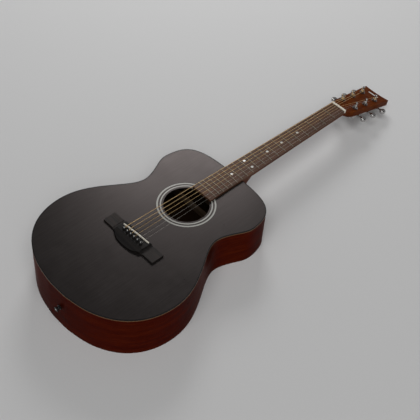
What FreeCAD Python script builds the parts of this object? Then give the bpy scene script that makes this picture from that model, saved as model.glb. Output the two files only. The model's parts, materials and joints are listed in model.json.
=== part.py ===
import FreeCAD, Part
import math
import os
import types

import Sketcher
from FreeCAD import Placement, Rotation, Vector

# Acoustic guitar with a small, wide-waisted body, lying on its back.
#
# Guitar frame, used by every piece before it is placed: +X to the treble side, +Y from the body to
# the headstock, +Z out of the soundboard. The zero is the front of the nut, on the soundboard's
# plane. Places along the guitar are given as distances from the nut towards the tail, so their y is
# minus that distance. SEAT then tips and lifts the guitar so that its back lies flat on z = 0.

os.makedirs("parts", exist_ok=True)
doc = FreeCAD.newDocument("acoustic_guitar")
sheet = doc.addObject("Spreadsheet::Sheet", "dims")

# Driving dimensions in mm and degrees. "station" is a distance from the nut towards the tail.
DIMENSIONS = {
    # body outline: each half is four cubic curves between these stations, pulls are handle lengths
    "heel_station": 350.5,
    "upper_bout_station": 435,
    "waist_station": 515,
    "lower_bout_station": 690,
    "tail_station": 843,
    "upper_bout_half": 142.5,
    "waist_half": 116.3,
    "lower_bout_half": 188.4,
    "shoulder_pull_out": 0.72,
    "shoulder_pull_back": 0.90,
    "upper_pull_out": 0.24,
    "upper_pull_back": 0.37,
    "lower_pull_out": 0.23,
    "lower_pull_back": 0.45,
    "tail_pull_out": 0.61,
    "tail_pull_back": 0.62,
    "heel_depth": 92,
    "tail_depth": 115,
    # plates, sides and edge strips
    "top_thick": 2.8,
    "back_thick": 2.6,
    "side_thick": 2,
    "binding_deep": 2.4,
    "purfling_deep": 2,
    "lining_wide": 6,
    "lining_deep": 13,
    # soundhole and rosette
    "soundhole_station": 495.5,
    "soundhole_radius": 50.5,
    "ring_inner_a": 54.8,
    "ring_outer_a": 57.6,
    "ring_inner_b": 61.6,
    "ring_outer_b": 65,
    "ring_deep": 1.2,
    # neck, fretboard and frets
    "scale_length": 634,
    "nut_width": 43,
    "board_width_twelfth": 52.5,
    "board_end_station": 451,
    "board_thick": 6,
    "board_radius": 400,
    "fret_count": 20,
    "fret_wide": 2.3,
    "fret_tall": 1.05,
    "fret_tang_wide": 0.5,
    "fret_tang_deep": 1.8,
    "dot_radius": 3.2,
    "dot_deep": 1.5,
    "double_dot_half": 12.5,
    "side_dot_radius": 1,
    "neck_thick_nut": 14.5,
    "neck_thick_heel": 17,
    "heel_foot_half": 17,
    "tenon_wide": 20,
    "tenon_long": 17,
    "tenon_deep": 74,
    # headstock
    "head_angle": 13,
    "head_thick": 14.5,
    "head_length": 162,
    "head_flare_at": 29,
    "head_flare_half": 30,
    "head_tip_half": 36.5,
    "head_tip_dip": 3,
    "inlay_long": 30,
    "inlay_wide": 4,
    "inlay_deep": 1,
    "inlay_at": 143,
    "nut_long": 5,
    "nut_tall": 8.3,
    "nut_slot_floor": 7.45,
    "nut_string_pitch": 7.2,
    # tuners
    "post_across": 20,
    "post_first": 40.5,
    "post_pitch": 41,
    "post_radius": 3,
    "post_tall": 17,
    "head_hole_radius": 5,
    "running_gap": 0.06,
    "bushing_flats": 11,
    "bushing_tall": 3,
    "washer_radius": 7,
    "washer_thick": 0.8,
    "housing_deep": 10,
    "ear_behind": 11.6,
    "ear_thick": 2.5,
    "screw_radius": 1.2,
    "gear_radius": 6.6,
    "gear_thick": 4.4,
    "gear_teeth": 14,
    "worm_radius": 2.5,
    "worm_offset": 9.4,
    "key_reach": 48,
    "key_long": 17.6,
    "key_across": 13.6,
    "key_thick": 9,
    # bridge, saddle and pins
    "bridge_front_station": 629.5,
    "bridge_wing_rear": 660,
    "bridge_belly_rear": 674,
    "bridge_half": 78,
    "bridge_block_half": 40,
    "bridge_tall": 8.5,
    "bridge_wing_tall": 4,
    "bridge_rear_tall": 3.4,
    "bridge_crest_station": 654,
    "saddle_station": 636,
    "saddle_turn": 3.9,
    "saddle_long": 74,
    "saddle_thick": 3,
    "saddle_top": 12,
    "saddle_floor": 4,
    "pin_station": 647,
    "pin_string_pitch": 10.6,
    "pin_radius": 2.55,
    "pin_tip_radius": 2.1,
    "pin_long": 21,
    "pin_head_radius": 3.8,
    "pin_head_tall": 4.6,
    "pin_dot_radius": 1.1,
    # truss rod and tail
    "rod_radius": 3,
    "rod_start": 12,
    "rod_end": 430,
    "rod_below": 7.5,
    "rod_nut_long": 12,
    "strap_across": 8,
    "strap_below": 57,
    "strap_head_radius": 5.8,
    "strap_neck_radius": 3.2,
    "strap_plug_radius": 4,
}
for row, (alias, value) in enumerate(DIMENSIONS.items(), start=1):
    sheet.set(f"A{row}", alias.replace("_", " "))
    sheet.set(f"B{row}", str(value))
    sheet.setAlias(f"B{row}", alias)
doc.recompute()


class Size(float):
    """A number that remembers the spreadsheet expression that gives it."""

    def __new__(cls, value, text):
        size = float.__new__(cls, value)
        size.text = text
        return size

    def __add__(self, other):
        return combined(self, "+", other, float(self) + float(other))

    def __radd__(self, other):
        return combined(other, "+", self, float(other) + float(self))

    def __sub__(self, other):
        return combined(self, "-", other, float(self) - float(other))

    def __rsub__(self, other):
        return combined(other, "-", self, float(other) - float(self))

    def __mul__(self, other):
        return combined(self, "*", other, float(self) * float(other))

    def __rmul__(self, other):
        return combined(other, "*", self, float(other) * float(self))

    def __truediv__(self, other):
        return combined(self, "/", other, float(self) / float(other))

    def __neg__(self):
        return combined(0, "-", self, -float(self))


def text_of(number):
    return number.text if isinstance(number, Size) else f"({float(number):.6g})"


def combined(left, sign, right, value):
    return Size(value, f"({text_of(left)} {sign} {text_of(right)})")


dim = types.SimpleNamespace(**{a: Size(getattr(sheet, a), f"dims.{a}") for a in DIMENSIONS})

BACK_TILT = math.degrees(math.atan2(dim.tail_depth - dim.heel_depth, dim.tail_station - dim.heel_station))
REST_STATION = 600  # the row's origin lies on the back under this station, on the centre line
TILT = Rotation(Vector(1, 0, 0), -BACK_TILT)


def back_z(station):
    """Height of the back's outer face in the guitar frame."""
    slope = math.tan(math.radians(BACK_TILT))
    return -float(dim.heel_depth) - (station - float(dim.heel_station)) * slope


SEAT = Placement(Vector(), TILT) * Placement(Vector(0, REST_STATION, -back_z(REST_STATION)), Rotation())
HEAD = SEAT * Placement(Vector(0, dim.nut_long, 0), Rotation(Vector(1, 0, 0), -dim.head_angle))
STRING_SIDES = (1, 1, 1, -1, -1, -1)  # strings 1 to 3 run to the treble side's posts
STRING_RADII = (0.15, 0.2, 0.32, 0.41, 0.53, 0.67)
POST_ORDER = (0, 1, 2, 2, 1, 0)  # which post of its row, counted from the nut, each string takes
nodes = []


# ---------------------------------------------------------------- helpers for the document's objects

def keep(piece, label, placement=SEAT):
    """Take a finished object as a sub-part: name it and put it in its place."""
    piece.Label = label
    piece.Placement = placement * piece.Placement
    nodes.append(piece)
    return piece


def bind(piece, name, number):
    """Set a property, and bind it to the sheet where the number comes from there."""
    if "." not in name:
        setattr(piece, name, float(number))
    if isinstance(number, Size):
        piece.setExpression(name, number.text)


def place(piece, x=0, y=0, z=0, turn=None):
    """Put a primitive at a place that follows the sheet."""
    piece.Placement = Placement(Vector(x, y, z), turn or Rotation())
    for axis, number in zip("xyz", (x, y, z)):
        bind(piece, f"Placement.Base.{axis}", number)
    return piece


def box(name, wide, long, tall, x, y, z):
    piece = doc.addObject("Part::Box", name)
    for prop, number in (("Length", wide), ("Width", long), ("Height", tall)):
        bind(piece, prop, number)
    return place(piece, x, y, z)


def cylinder(name, radius, tall, x=0, y=0, z=0, turn=None):
    piece = doc.addObject("Part::Cylinder", name)
    bind(piece, "Radius", radius)
    bind(piece, "Height", tall)
    return place(piece, x, y, z, turn)


def cone(name, low_radius, high_radius, tall, x=0, y=0, z=0):
    piece = doc.addObject("Part::Cone", name)
    bind(piece, "Radius1", low_radius)
    bind(piece, "Radius2", high_radius)
    bind(piece, "Height", tall)
    return place(piece, x, y, z)


def cut(name, base, tool):
    piece = doc.addObject("Part::Cut", name)
    piece.Base = base
    piece.Tool = tool
    return piece


def fuse(name, *shapes):
    piece = doc.addObject("Part::MultiFuse", name)
    piece.Shapes = list(shapes)
    piece.Refine = True
    return piece


def group(name, *shapes):
    """Separate solids kept together in one object."""
    piece = doc.addObject("Part::Compound", name)
    piece.Links = list(shapes)
    return piece


def feature(name, shape):
    piece = doc.addObject("Part::Feature", name)
    piece.Shape = shape
    return piece


def new_sketch(body, role, name):
    """A sketch on one of the body's own origin planes."""
    sketch = body.newObject("Sketcher::SketchObject", name)
    plane = next(f for f in body.Origin.OriginFeatures if f.Role == role)
    sketch.AttachmentSupport = [(plane, "")]
    sketch.MapMode = "FlatFace"
    return sketch


def pin_point(sketch, line, end, x, y):
    """Hold one point of a sketch at coordinates that follow the sheet."""
    for kind, number in (("DistanceX", x), ("DistanceY", y)):
        index = sketch.addConstraint(Sketcher.Constraint(kind, -1, 1, line, end, float(number)))
        if isinstance(number, Size):
            sketch.setExpression(f"Constraints[{index}]", number.text)


def polygon(sketch, corners):
    """A closed outline of straight lines."""
    first = sketch.GeometryCount
    count = len(corners)
    points = [Vector(float(x), float(y), 0) for x, y in corners]
    for i in range(count):
        sketch.addGeometry(Part.LineSegment(points[i], points[(i + 1) % count]))
    for i in range(count):
        sketch.addConstraint(Sketcher.Constraint("Coincident", first + i, 2, first + (i + 1) % count, 1))
    for i, (x, y) in enumerate(corners):
        pin_point(sketch, first + i, 1, x, y)


def circle(sketch, x, y, radius):
    index = sketch.addGeometry(Part.Circle(Vector(float(x), float(y), 0), Vector(0, 0, 1), float(radius)))
    pin_point(sketch, index, 3, x, y)
    held = sketch.addConstraint(Sketcher.Constraint("Radius", index, float(radius)))
    if isinstance(radius, Size):
        sketch.setExpression(f"Constraints[{held}]", radius.text)


def padded(name, role, corners, length, midplane=False, reverse=False):
    """A PartDesign body: one polygon, padded."""
    body = doc.addObject("PartDesign::Body", name)
    sketch = new_sketch(body, role, f"{name}_outline")
    polygon(sketch, corners)
    pad = body.newObject("PartDesign::Pad", f"{name}_pad")
    pad.Profile = sketch
    pad.Midplane = midplane
    pad.Reversed = reverse
    bind(pad, "Length", length)
    return body


def turned(name, profile):
    """A PartDesign body turned about its own Z axis from (radius, height) corners."""
    body = doc.addObject("PartDesign::Body", name)
    sketch = new_sketch(body, "XZ_Plane", f"{name}_profile")
    polygon(sketch, profile)
    revolution = body.newObject("PartDesign::Revolution", f"{name}_turn")
    revolution.Profile = sketch
    revolution.ReferenceAxis = (sketch, ["V_Axis"])
    revolution.Angle = 360
    return body


def pocket(body, role, name, draw, length=None):
    """Cut what draw(sketch) draws right through the body, or length deep each way."""
    sketch = new_sketch(body, role, f"{name}_outline")
    draw(sketch)
    hole = body.newObject("PartDesign::Pocket", name)
    hole.Profile = sketch
    hole.Midplane = True
    if length is None:
        hole.Type = "ThroughAll"
    else:
        bind(hole, "Length", length)
    return hole


# ------------------------------------------------------------------------------- the body's outline

def bezier(a, b, c, d, part):
    rest = 1 - part
    return a * rest**3 + b * (3 * rest * rest * part) + c * (3 * rest * part * part) + d * part**3


def slope(a, b, c, d, part):
    rest = 1 - part
    return (b - a) * (3 * rest * rest) + (c - b) * (6 * rest * part) + (d - c) * (3 * part * part)


def half_outline(inset):
    """Points of the treble half from heel to tail, moved inward by inset."""
    stops = [
        (dim.heel_station, 0),
        (dim.upper_bout_station, dim.upper_bout_half),
        (dim.waist_station, dim.waist_half),
        (dim.lower_bout_station, dim.lower_bout_half),
        (dim.tail_station, 0),
    ]
    pulls = [
        (dim.shoulder_pull_out, dim.shoulder_pull_back),
        (dim.upper_pull_out, dim.upper_pull_back),
        (dim.lower_pull_out, dim.lower_pull_back),
        (dim.tail_pull_out, dim.tail_pull_back),
    ]
    steps = (9, 6, 7, 9)
    points = []
    for i, (pull_out, pull_back) in enumerate(pulls):
        (s0, w0), (s1, w1) = stops[i], stops[i + 1]
        start = Vector(float(w0), -float(s0), 0)
        finish = Vector(float(w1), -float(s1), 0)
        leave = Vector(w1 - w0, 0, 0) if i == 0 else Vector(0, s0 - s1, 0)
        arrive = Vector(w1 - w0, 0, 0) if i == 3 else Vector(0, s0 - s1, 0)
        b = start + leave * float(pull_out)
        c = finish - arrive * float(pull_back)
        for step in range(steps[i] + (i == 3)):
            part = step / steps[i]
            point = bezier(start, b, c, finish, part)
            along = slope(start, b, c, finish, part).normalize()
            points.append(point + Vector(along.y, -along.x, 0) * inset)
    points[0].x = points[-1].x = 0
    return points


def outline(inset, z=0):
    """The body's closed outline, inset by a distance, at a height."""
    edges = []
    for side in (1, -1):
        points = [Vector(p.x * side, p.y, z) for p in half_outline(inset)]
        curve = Part.BSplineCurve()
        out = Vector(side, 0, 0)
        curve.interpolate(Points=points, InitialTangent=out, FinalTangent=-out)
        edges.append(curve.toShape())
    return Part.Wire(edges)


def prism(inset, top, bottom):
    """A solid with the body's outline, inset, between two heights."""
    return Part.Face(outline(inset, bottom)).extrude(Vector(0, 0, top - bottom))


def above_back(lift, tall=200):
    """Everything from lift above the back's outer face upward, square to the back."""
    block = Part.makeBox(600, 800, tall, Vector(-300, -400, lift))
    middle = Vector(0, -REST_STATION, back_z(REST_STATION))
    block.Placement = Placement(middle, Rotation(Vector(1, 0, 0), BACK_TILT))
    return block


def hoop(outer, inner, top, bottom):
    return prism(outer, top, bottom).cut(prism(inner, top, bottom))


LOW = -160  # below every part of the body
strips_deep = float(dim.binding_deep + dim.purfling_deep)
inside_back = float(dim.back_thick)
lining_inset = float(dim.side_thick + dim.lining_wide)


# --------------------------------------------------------------------------- neck, heel and headstock

def board_half(station):
    """Half the fretboard's width at a station."""
    widening = (dim.board_width_twelfth - dim.nut_width) / (dim.scale_length / 2)
    return (dim.nut_width + widening * station) / 2


def shaft_section(station, thick, half=None):
    """The neck's cross-section: flat under the fretboard, half an ellipse below."""
    half = half or float(board_half(station))
    left, right = Vector(-half, -station, 0), Vector(half, -station, 0)
    flat = Part.LineSegment(left, right).toShape()
    # lower half of an ellipse with its axes across and down
    points = [Vector(half * math.cos(a), -station, -thick * math.sin(a) ** 0.8)
              for a in (math.pi * i / 12 for i in range(13))]
    round_side = Part.BSplineCurve()
    round_side.interpolate(Points=points)
    return Part.Wire([flat, round_side.toShape()])


def heel_section(z, nose, half):
    """A level slice of the heel: straight against the body, rounded towards the nut."""
    wall = -float(dim.heel_station)
    points = [Vector(half * math.cos(a), wall + (-nose - wall) * math.sin(a) ** 0.75, z)
              for a in (math.pi * i / 12 for i in range(13))]
    curve = Part.BSplineCurve()
    curve.interpolate(Points=points)
    flat = Part.LineSegment(points[-1], points[0]).toShape()
    return Part.Wire([curve.toShape(), flat])


def tenon_room():
    """The neck's tenon below the edge strips, which is also its room in the body."""
    corner = Vector(-dim.tenon_wide / 2, -dim.heel_station - dim.tenon_long, -strips_deep - dim.tenon_deep)
    return Part.makeBox(dim.tenon_wide, dim.tenon_long + 1, dim.tenon_deep, corner)


def make_neck():
    near_body = float(dim.heel_station)
    thin, thick = float(dim.neck_thick_nut), float(dim.neck_thick_heel)
    # each row: station, thickness there
    shaft_rows = (
        (-float(dim.nut_long), thin),
        (60, thin),
        (180, thin + 1.2),
        (300, thick),
        (near_body, thick),
    )
    shaft = Part.makeLoft([shaft_section(*row) for row in shaft_rows], True, False)
    # each row: height, where the heel's nose is, half the heel's width
    rows = (
        (-1, 284, float(board_half(near_body)) - 0.6),
        (-12, 294, 25.4),
        (-20, 305, 24.4),
        (-34, 318, 22.6),
        (-56, 329, 20.2),
        (-78, 335, 18.2),
        (-96, 338, float(dim.heel_foot_half)),
    )
    heel = Part.makeLoft([heel_section(*row) for row in rows], True, False)
    heel = heel.common(above_back(0))
    return shaft.fuse([heel, tenon_room()])


def head_outline(z):
    """The headstock's plan in its own frame: flared sides and a slightly hollow tip."""
    start = float(dim.nut_width) / 2
    flare_y, flare = float(dim.head_flare_at), float(dim.head_flare_half)
    tip_y, tip = float(dim.head_length), float(dim.head_tip_half)
    edges = []
    for side in (1, -1):
        foot = Vector(side * start, -1, z)
        bend = Vector(side * (start + 3.4), 13, z)
        wide = Vector(side * flare, flare_y, z)
        corner = Vector(side * tip, tip_y, z)
        shoulder = Part.BSplineCurve()
        shoulder.interpolate(Points=[foot, bend, wide], InitialTangent=Vector(side * 0.05, 1, 0),
                             FinalTangent=corner - wide)
        edges.append(shoulder.toShape())
        edges.append(Part.LineSegment(wide, corner).toShape())
    dip = Vector(0, tip_y - dim.head_tip_dip, z)
    edges.append(Part.Arc(Vector(tip, tip_y, z), dip, Vector(-tip, tip_y, z)).toShape())
    edges.append(Part.LineSegment(Vector(-start, -1, z), Vector(start, -1, z)).toShape())
    return Part.Wire(Part.__sortEdges__(edges))


def post_place(index):
    """Centre of a string's post on the headstock's face, in the headstock's frame."""
    along = dim.post_first + dim.post_pitch * POST_ORDER[index]
    return Vector(STRING_SIDES[index] * dim.post_across, along, 0)


head_in_guitar = Placement(Vector(0, dim.nut_long, 0), Rotation(Vector(1, 0, 0), -dim.head_angle))


def make_headstock():
    thick = dim.head_thick
    plate = Part.Face(head_outline(-float(thick))).extrude(Vector(0, 0, thick))
    holes = [Part.makeBox(dim.inlay_long, dim.inlay_wide, 9,
                          Vector(-dim.inlay_long / 2, dim.inlay_at, -dim.inlay_deep))]
    for index in range(6):
        through = post_place(index) - Vector(0, 0, thick + 1)
        screw_at = post_place(index) + Vector(0, -dim.ear_behind, -thick)
        holes.append(Part.makeCylinder(dim.head_hole_radius, thick + 2, through))
        holes.append(Part.makeCylinder(dim.screw_radius, 8, screw_at))
    plate = plate.cut(holes)
    plate.Placement = head_in_guitar
    # towards the nut the back edges are scooped away until they meet the shaft's round back
    scoop_end = -30
    scoop = Part.makeLoft([shaft_section(0, 13.8, 20.8), shaft_section(scoop_end, 36, 46)], True, True)
    beyond = plate.cut(Part.makeBox(200, 60 - scoop_end, 100, Vector(-100, -60, -80)))
    return plate.common(scoop).fuse(beyond).removeSplitter()


rod_way = Part.makeCylinder(dim.rod_radius + 0.05, dim.rod_end, Vector(0, -dim.rod_start, -dim.rod_below),
                            Vector(0, -1, 0))
over_nut_seat = Part.makeBox(200, 40, 60, Vector(-100, dim.nut_long - 40, 0))
neck_solid = make_neck().fuse(make_headstock()).cut([over_nut_seat, rod_way]).removeSplitter()
keep(feature("neck_shape", neck_solid), "neck")

# ----------------------------------------------------------------------- fretboard, frets and dots


def fret_station(number):
    return float(dim.scale_length) * (1 - 2 ** (-number / 12))


def board_blank(tall=0.0):
    """The tapered fretboard with its curved top, raised by tall."""
    end = dim.board_end_station
    ends = ((-1, 0), (1, 0), (1, end), (-1, end))
    corners = [Vector(side * float(board_half(at)), -float(at), 0) for side, at in ends]
    plate = Part.Face(Part.makePolygon(corners + corners[:1])).extrude(Vector(0, 0, 20))
    radius = float(dim.board_radius) + tall
    centre = float(dim.board_thick) - float(dim.board_radius)
    drum = Part.makeCylinder(radius, float(end) + 20, Vector(0, 10, centre), Vector(0, -1, 0))
    return plate.common(drum)


def fret(number):
    """One fret: a crown on the curved board and a tang in its slot."""
    wide, tang = float(dim.fret_wide) / 2, float(dim.fret_tang_wide) / 2
    tall, deep = float(dim.fret_tall), float(dim.fret_tang_deep)
    y, z = -fret_station(number), float(dim.board_thick)
    half_shape = [(0.3 * wide, tall), (0.8 * wide, 0.7 * tall), (wide, 0), (tang, 0), (tang, -deep)]
    shape = half_shape + [(-a, b) for a, b in reversed(half_shape)]
    points = [Vector(0, y + a, z + b) for a, b in shape]
    face = Part.Face(Part.makePolygon(points + points[:1]))
    sweep = 5
    axis_at = Vector(0, y, z - float(dim.board_radius))
    face.rotate(axis_at, Vector(0, 1, 0), -sweep)
    bar = face.revolve(axis_at, Vector(0, 1, 0), 2 * sweep)
    return bar.common(board_blank(5))


def dot_places():
    """Where the position dots sit: (distance across, station)."""
    for number in (5, 7, 9, 15):
        yield 0, (fret_station(number) + fret_station(number - 1)) / 2
    for side in (-1, 1):
        yield side * float(dim.double_dot_half), (fret_station(12) + fret_station(11)) / 2


blank = board_blank()
frets = [fret(n) for n in range(1, int(dim.fret_count) + 1)]
dots = []
for across, station in dot_places():
    plug = Part.makeCylinder(dim.dot_radius, 10, Vector(across, -station, dim.board_thick - dim.dot_deep))
    dots.append(plug.common(blank))
for number in (3, 5, 7, 9, 12, 15):
    station = (fret_station(number) + fret_station(number - 1)) / 2
    start = Vector(-float(board_half(station)) - 2, -station, dim.board_thick / 2)
    plug = Part.makeCylinder(dim.side_dot_radius, 4, start, Vector(1, 0, 0))
    dots.append(plug.common(blank))
board = blank.cut(frets + dots)
keep(feature("fretboard_shape", board), "fretboard")
keep(feature("frets_shape", Part.makeCompound(frets)), "frets")
keep(feature("dots_shape", Part.makeCompound(dots)), "position_dots")
inlay_bar = box("inlay_bar", dim.inlay_long, dim.inlay_wide, dim.inlay_deep,
                -dim.inlay_long / 2, dim.inlay_at, -dim.inlay_deep)
keep(group("inlay_bar_group", inlay_bar), "headstock_inlay", HEAD)

# ------------------------------------------------------------------------------ strings' way, bridge

slope_turn = Rotation(Vector(0, 0, 1), dim.saddle_turn)


def nut_x(index):
    return float(dim.nut_string_pitch) * (2.5 - index)


def pin_x(index):
    return float(dim.pin_string_pitch) * (2.5 - index)


def crown_drop(x):
    """How far the curved fretboard, nut and saddle fall at a distance from the centre line."""
    radius = float(dim.board_radius)
    return radius - math.sqrt(radius * radius - x * x)


def saddle_station_at(x):
    return float(dim.saddle_station) - x * math.tan(math.radians(dim.saddle_turn))


def nut_floor(index):
    return float(dim.nut_slot_floor) - crown_drop(nut_x(index))


def saddle_height(x):
    return float(dim.saddle_top) - crown_drop(x)


STRING_AHEAD = 2.3  # the strings rise this far in front of the pins' axes
BALL_AHEAD = 4.5
BALL_RADIUS = 1.9
STRING_EXIT = 9.9  # height where a string turns from its pin hole towards the saddle


def make_bridge():
    front, rear = -float(dim.bridge_front_station), -float(dim.bridge_belly_rear)
    wing = -float(dim.bridge_wing_rear)
    half, block = float(dim.bridge_half), float(dim.bridge_block_half)
    tall, wing_tall = float(dim.bridge_tall), float(dim.bridge_wing_tall)
    # plan: straight front and wings, a bellied rear edge
    starts = half - 22
    bend_x, bend_y = 0.62 * block, rear + 3
    belly_points = [(starts, wing), (bend_x, bend_y), (0, rear), (-bend_x, bend_y), (-starts, wing)]
    belly = Part.BSplineCurve()
    belly.interpolate(Points=[Vector(x, y, 0) for x, y in belly_points], InitialTangent=Vector(-1, 0, 0),
                      FinalTangent=Vector(-1, 0, 0))
    straight = [(-starts, wing), (-half, wing), (-half, front), (half, front), (half, wing), (starts, wing)]
    corners = [Vector(x, y, 0) for x, y in straight]
    edges = [Part.LineSegment(a, b).toShape() for a, b in zip(corners, corners[1:])]
    solid = Part.Face(Part.Wire([belly.toShape()] + edges)).extrude(Vector(0, 0, tall))
    # seen from the tail: level block, scooped down to thin wings
    scoop = 9
    outer = half + 5
    edges = [Part.LineSegment(Vector(-block, 0, tall), Vector(block, 0, tall)).toShape()]
    for side in (1, -1):
        top = Vector(side * block, 0, tall)
        dip = Vector(side * (block + 0.83), 0, tall - 0.55 * (tall - wing_tall))
        foot = Vector(side * (block + scoop), 0, wing_tall)
        tip = Vector(side * outer, 0, wing_tall)
        edges.append(Part.Arc(top, dip, foot).toShape())
        edges.append(Part.LineSegment(foot, tip).toShape())
        edges.append(Part.LineSegment(tip, Vector(tip.x, 0, -1)).toShape())
    edges.append(Part.LineSegment(Vector(outer, 0, -1), Vector(-outer, 0, -1)).toShape())
    rear_view = Part.Face(Part.Wire(Part.__sortEdges__(edges)))
    rear_view.translate(Vector(0, rear - 5, 0))
    solid = solid.common(rear_view.extrude(Vector(0, 60, 0)))
    # seen from the side: level to the crest, then sloping to the belly's edge
    crest = -float(dim.bridge_crest_station)
    side = [(front + 1, 0), (front + 1, tall - 1.2), (front - 0.6, tall), (crest, tall),
            (rear - 1, float(dim.bridge_rear_tall)), (rear - 1, 0)]
    points = [Vector(-outer, y if i > 2 else y - 1, z) for i, (y, z) in enumerate(side)]
    side_view = Part.Face(Part.makePolygon(points + points[:1]))
    return solid.common(side_view.extrude(Vector(2 * outer, 0, 0)))


def pin_hole(index, top, bottom, loose=0.04):
    """A tapered hole for a bridge pin with a groove for its string, between two heights."""
    x, y = pin_x(index), -float(dim.pin_station)
    slope_ratio = (dim.pin_radius - dim.pin_tip_radius) / dim.pin_long
    crest = float(dim.bridge_tall)
    low, high = (float(dim.pin_radius) + loose - (crest - z) * slope_ratio for z in (bottom, top))
    taper = Part.makeCone(low, high, top - bottom, Vector(x, y, bottom))
    groove_radius = STRING_RADII[index] + 0.25
    groove = Part.makeCylinder(groove_radius, top - bottom, Vector(x, y + STRING_AHEAD, bottom))
    return taper.fuse(groove)


bridge_solid = make_bridge()
saddle_slot = Part.makeBox(dim.saddle_long, dim.saddle_thick, 10,
                           Vector(-dim.saddle_long / 2, -dim.saddle_thick / 2, dim.saddle_floor))
saddle_slot.Placement = Placement(Vector(0, -dim.saddle_station, 0), slope_turn) * saddle_slot.Placement
bridge_holes = [pin_hole(i, 12, -1) for i in range(6)]
bridge_solid = bridge_solid.cut([saddle_slot] + bridge_holes)
keep(feature("bridge_shape", bridge_solid), "bridge")


def make_saddle():
    """A bone strip with a curved, rounded crest, standing in the bridge's slot."""
    half = float(dim.saddle_long) / 2
    low = float(dim.saddle_floor)
    crest, end = saddle_height(0), saddle_height(half)
    edges = [
        Part.LineSegment(Vector(-half, 0, low), Vector(half, 0, low)).toShape(),
        Part.LineSegment(Vector(half, 0, low), Vector(half, 0, end)).toShape(),
        Part.Arc(Vector(half, 0, end), Vector(0, 0, crest), Vector(-half, 0, end)).toShape(),
        Part.LineSegment(Vector(-half, 0, end), Vector(-half, 0, low)).toShape(),
    ]
    face = Part.Face(Part.Wire(edges))
    face.translate(Vector(0, -dim.saddle_thick / 2, 0))
    strip = face.extrude(Vector(0, dim.saddle_thick, 0))
    crown = [e for e in strip.Edges if e.BoundBox.ZMin > end - 0.01 and e.BoundBox.XLength > half]
    strip = strip.makeFillet(float(dim.saddle_thick) * 0.46, crown)
    strip.Placement = Placement(Vector(0, -dim.saddle_station, 0), slope_turn)
    return strip


keep(feature("saddle_shape", make_saddle()), "saddle")

# pins: a tapered shaft with a flute for the string, a collar and a domed head with an inlaid dot
pin_tall, pin_head, pin_dot = dim.pin_head_tall, dim.pin_head_radius, dim.pin_dot_radius
pin_profile = [
    (0, -dim.pin_long), (dim.pin_tip_radius, -dim.pin_long), (dim.pin_radius, 0), (pin_head - 0.6, 0.15),
    (pin_head, 1.2), (pin_head, 2.4), (pin_head - 0.7, pin_tall - 0.9), (pin_head - 2, pin_tall - 0.1),
    (pin_dot, pin_tall), (pin_dot, pin_tall - 1), (0, pin_tall - 1),
]
pins, pin_dots = [], []
for i in range(6):
    x, y, z = pin_x(i), -dim.pin_station, dim.bridge_tall + 0.02
    pin = place(turned(f"pin_{i + 1}_turned", pin_profile), x, y, z)
    flute_radius = STRING_RADII[i] + 0.2
    ahead = y + STRING_AHEAD
    flute = cylinder(f"pin_{i + 1}_flute", flute_radius, dim.pin_long + 3.8, x, ahead, z - dim.pin_long - 1)
    mouth = box(f"pin_{i + 1}_mouth", 2 * flute_radius, 4, 3.3, x - flute_radius, ahead, z - 0.5)
    pins.append(cut(f"pin_{i + 1}", pin, fuse(f"pin_{i + 1}_string_way", flute, mouth)))
    pin_dots.append(cylinder(f"pin_{i + 1}_dot", pin_dot, 1, x, y, z + pin_tall - 1))
keep(group("bridge_pins_group", *pins), "bridge_pins")
keep(group("pin_dots_group", *pin_dots), "bridge_pin_dots")

# nut: a bone block with six open slots
nut = padded("nut_block", "XZ_Plane", [
    (-dim.nut_width / 2, 0), (dim.nut_width / 2, 0), (dim.nut_width / 2, dim.nut_tall - 1),
    (dim.nut_width / 2 - 2, dim.nut_tall - 0.3), (dim.nut_width / 4, dim.nut_tall),
    (-dim.nut_width / 4, dim.nut_tall), (2 - dim.nut_width / 2, dim.nut_tall - 0.3),
    (-dim.nut_width / 2, dim.nut_tall - 1),
], dim.nut_long, reverse=True)
slots = []
for i, radius in enumerate(STRING_RADII):
    wide = 2 * (radius + 0.05)
    slots.append(box(f"nut_slot_{i + 1}", wide, dim.nut_long + 2, 4, nut_x(i) - wide / 2, -1, nut_floor(i)))
keep(cut("nut_slotted", nut, fuse("nut_slots", *slots)), "nut")

# ------------------------------------------------------------------------------ plates and edge strips

tail = float(dim.tail_station)
top_low = -float(dim.top_thick)
strap_hole = Part.makeCylinder(dim.strap_plug_radius, 30, Vector(dim.strap_across, -tail - 5, -dim.strap_below),
                               Vector(0, 1, 0))


def ring(name, inner, outer):
    """A flat inlaid ring round the soundhole."""
    spot = {"y": -dim.soundhole_station, "z": -dim.ring_deep}
    disc = cylinder(f"{name}_outer", outer, dim.ring_deep, **spot)
    middle = cylinder(f"{name}_inner", inner, dim.ring_deep, **spot)
    return cut(name, disc, middle)


rings = [
    ring("ring_a", dim.ring_inner_a, dim.ring_outer_a),
    ring("ring_b", dim.ring_inner_b, dim.ring_outer_b),
]
keep(group("rosette_rings", *rings), "rosette")
doc.recompute()

soundhole = Part.makeCylinder(dim.soundhole_radius, 20, Vector(0, -dim.soundhole_station, -10))
top_holes = [pin_hole(i, 1, top_low - 1) for i in range(6)]
wall_thick, binding_low = float(dim.side_thick), -float(dim.binding_deep)
soundboard = prism(wall_thick, 0, top_low).cut([soundhole] + [r.Shape for r in rings] + top_holes)
keep(feature("soundboard_shape", soundboard), "soundboard")
keep(feature("binding_shape", hoop(0, wall_thick, 0, binding_low)), "top_binding")
keep(feature("purfling_shape", hoop(0, wall_thick, binding_low, -strips_deep)), "edge_purfling")
keep(feature("back_shape", prism(0, -50, LOW).common(above_back(0, inside_back))), "back")

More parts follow.
